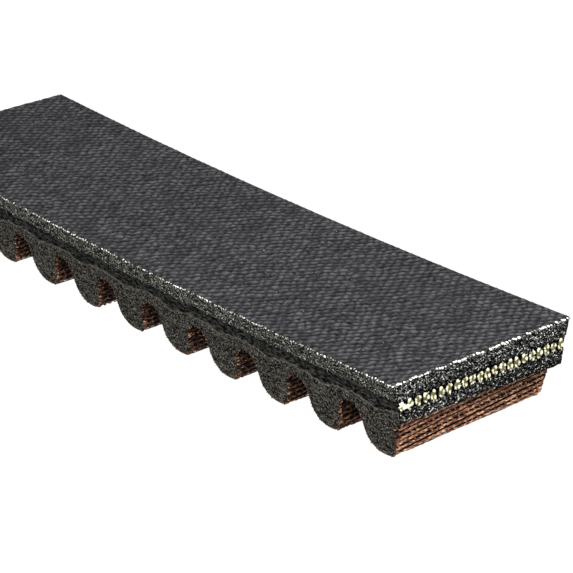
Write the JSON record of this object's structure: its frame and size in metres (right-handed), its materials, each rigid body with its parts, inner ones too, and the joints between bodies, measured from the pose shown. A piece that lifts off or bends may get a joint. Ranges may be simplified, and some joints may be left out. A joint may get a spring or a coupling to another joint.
{
  "type": "cogged variable-speed v belt",
  "caption": "Straight cut length of raw-edge cogged V belt: cloth back, embedded tensile cords and moulded cogs with fabric plies, bending at every notch.",
  "frame": {"origin": "middle of the length and width, level with the middle cog's tip the belt lies on", "axes": "+X along the belt towards the slightly skewed cut, +Y across the width, +Z from the cog tips to the cloth back"},
  "size_m": [0.1068, 0.0302, 0.0125],
  "materials": {
    "back_cloth": "rubberised weave, soft sheen",
    "upper_rubber": "ground, fibre-speckled",
    "tensile_cords": "twisted cord",
    "cog": "ground, fibre-speckled",
    "cog_plies": "rubber-coated cord fabric"
  },
  "bodies": {
    "segment_01": {"back_cloth_01": "back_cloth", "upper_rubber_01": "upper_rubber", "tensile_cords_01": "tensile_cords", "cog_01": "cog", "cog_plies_01": "cog_plies"},
    "segment_02": {"back_cloth_02": "back_cloth", "upper_rubber_02": "upper_rubber", "tensile_cords_02": "tensile_cords", "cog_02": "cog", "cog_plies_02": "cog_plies"},
    "segment_03": {"back_cloth_03": "back_cloth", "upper_rubber_03": "upper_rubber", "tensile_cords_03": "tensile_cords", "cog_03": "cog", "cog_plies_03": "cog_plies"},
    "segment_04": {"back_cloth_04": "back_cloth", "upper_rubber_04": "upper_rubber", "tensile_cords_04": "tensile_cords", "cog_04": "cog", "cog_plies_04": "cog_plies"},
    "segment_05": {"back_cloth_05": "back_cloth", "upper_rubber_05": "upper_rubber", "tensile_cords_05": "tensile_cords", "cog_05": "cog", "cog_plies_05": "cog_plies"},
    "segment_06": {"back_cloth_06": "back_cloth", "upper_rubber_06": "upper_rubber", "tensile_cords_06": "tensile_cords", "cog_06": "cog", "cog_plies_06": "cog_plies"},
    "segment_07": {"back_cloth_07": "back_cloth", "upper_rubber_07": "upper_rubber", "tensile_cords_07": "tensile_cords", "cog_07": "cog", "cog_plies_07": "cog_plies"},
    "segment_08": {"back_cloth_08": "back_cloth", "upper_rubber_08": "upper_rubber", "tensile_cords_08": "tensile_cords", "cog_08": "cog", "cog_plies_08": "cog_plies"},
    "segment_09": {"back_cloth_09": "back_cloth", "upper_rubber_09": "upper_rubber", "tensile_cords_09": "tensile_cords", "cog_09": "cog", "cog_plies_09": "cog_plies"},
    "segment_10": {"back_cloth_10": "back_cloth", "upper_rubber_10": "upper_rubber", "tensile_cords_10": "tensile_cords", "cog_10": "cog", "cog_plies_10": "cog_plies"},
    "segment_11": {"back_cloth_11": "back_cloth", "upper_rubber_11": "upper_rubber", "tensile_cords_11": "tensile_cords", "cog_11": "cog", "cog_plies_11": "cog_plies"}
  },
  "joints": [
    {"name": "bend_01_02", "type": "hinge", "parent": "segment_02", "child": "segment_01", "pos_m": [-0.04364, 0, 0.00871], "axis": [0, -1, 0], "range_deg": [-5, 15], "stiffness_Nm_per_rad": 0.5},
    {"name": "bend_02_03", "type": "hinge", "parent": "segment_03", "child": "segment_02", "pos_m": [-0.03395, 0, 0.00843], "axis": [0, -1, 0], "range_deg": [-5, 15], "stiffness_Nm_per_rad": 0.5},
    {"name": "bend_03_04", "type": "hinge", "parent": "segment_04", "child": "segment_03", "pos_m": [-0.02425, 0, 0.00821], "axis": [0, -1, 0], "range_deg": [-5, 15], "stiffness_Nm_per_rad": 0.5},
    {"name": "bend_04_05", "type": "hinge", "parent": "segment_05", "child": "segment_04", "pos_m": [-0.01455, 0, 0.00807], "axis": [0, -1, 0], "range_deg": [-5, 15], "stiffness_Nm_per_rad": 0.5},
    {"name": "bend_05_06", "type": "hinge", "parent": "segment_06", "child": "segment_05", "pos_m": [-0.00485, 0, 0.008], "axis": [0, -1, 0], "range_deg": [-5, 15], "stiffness_Nm_per_rad": 0.5},
    {"name": "bend_06_07", "type": "hinge", "parent": "segment_06", "child": "segment_07", "pos_m": [0.00485, 0, 0.008], "axis": [0, 1, 0], "range_deg": [-5, 15], "stiffness_Nm_per_rad": 0.5},
    {"name": "bend_07_08", "type": "hinge", "parent": "segment_07", "child": "segment_08", "pos_m": [0.01455, 0, 0.00807], "axis": [0, 1, 0], "range_deg": [-5, 15], "stiffness_Nm_per_rad": 0.5},
    {"name": "bend_08_09", "type": "hinge", "parent": "segment_08", "child": "segment_09", "pos_m": [0.02425, 0, 0.00821], "axis": [0, 1, 0], "range_deg": [-5, 15], "stiffness_Nm_per_rad": 0.5},
    {"name": "bend_09_10", "type": "hinge", "parent": "segment_09", "child": "segment_10", "pos_m": [0.03395, 0, 0.00843], "axis": [0, 1, 0], "range_deg": [-5, 15], "stiffness_Nm_per_rad": 0.5},
    {"name": "bend_10_11", "type": "hinge", "parent": "segment_10", "child": "segment_11", "pos_m": [0.04364, 0, 0.00871], "axis": [0, 1, 0], "range_deg": [-5, 15], "stiffness_Nm_per_rad": 0.5}
  ]
}
